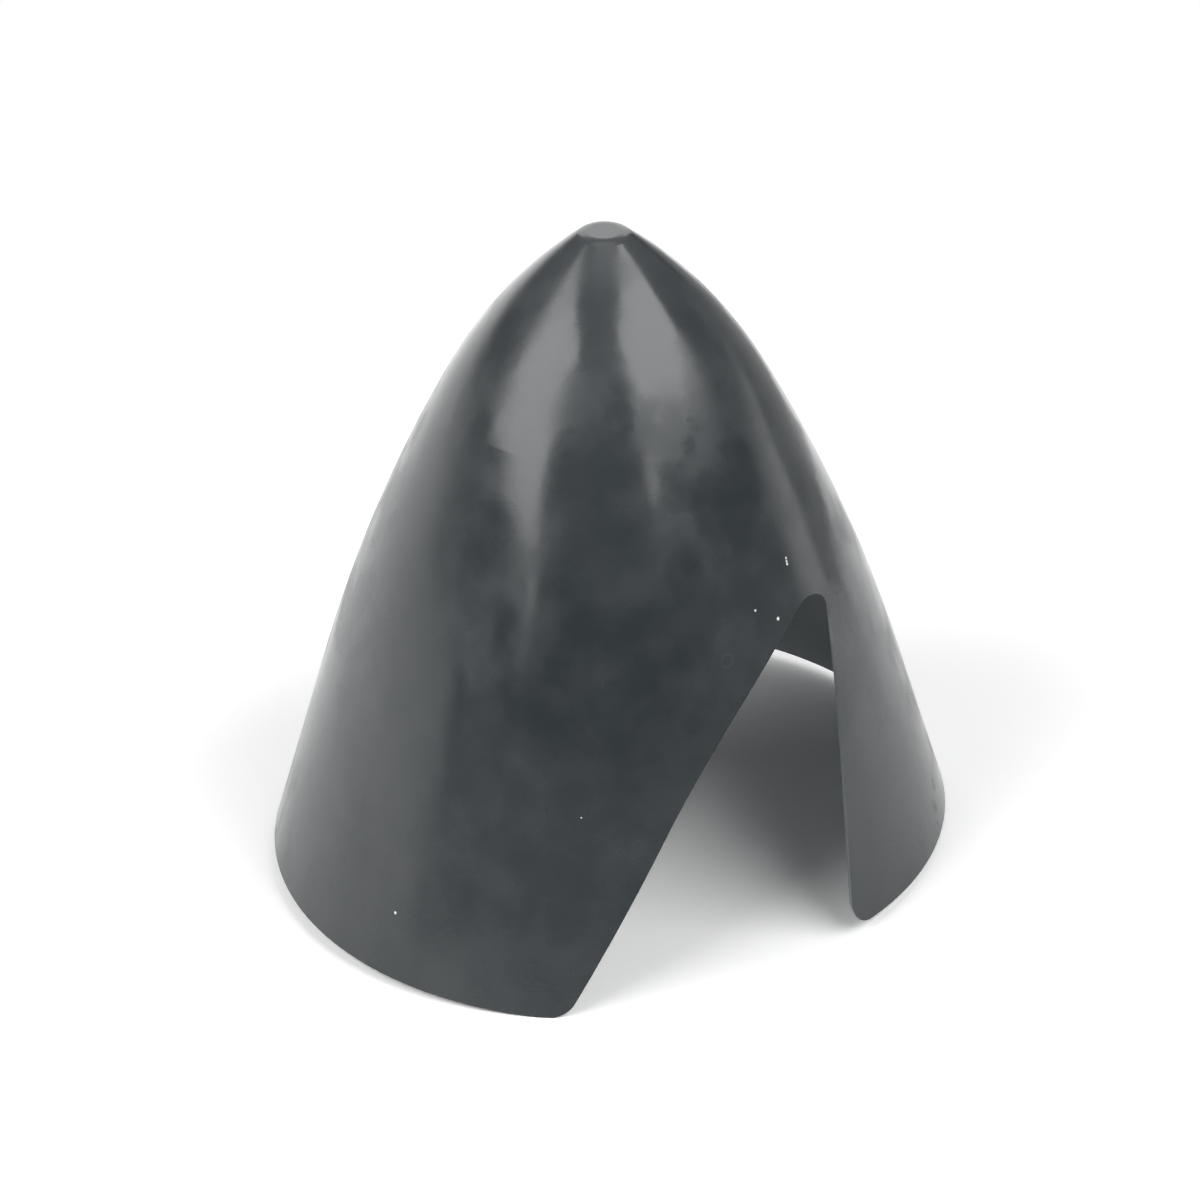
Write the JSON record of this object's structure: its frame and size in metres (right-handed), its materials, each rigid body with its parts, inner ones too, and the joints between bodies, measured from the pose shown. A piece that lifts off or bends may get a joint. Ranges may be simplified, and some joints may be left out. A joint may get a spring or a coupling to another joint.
{
  "type": "propeller spinner",
  "caption": "Pointed hollow propeller spinner shell with a small flat nose and a slanted blade cutout on each side, open at its base, one petal shorter than the other.",
  "frame": {"origin": "centre of the rim plane on the spinner's axis, level with the rim of the long petal", "axes": "+Z along the spinner's axis towards the nose; -Y and +Y out through the two blade cutouts; -X through the long petal and +X through the short petal"},
  "size_m": [0.0986, 0.09, 0.0981],
  "materials": {
    "shell": "dark satin-gloss moulded plastic, cloudy with handling"
  },
  "bodies": {
    "root": {"spinner_shell": "shell"}
  },
  "joints": []
}
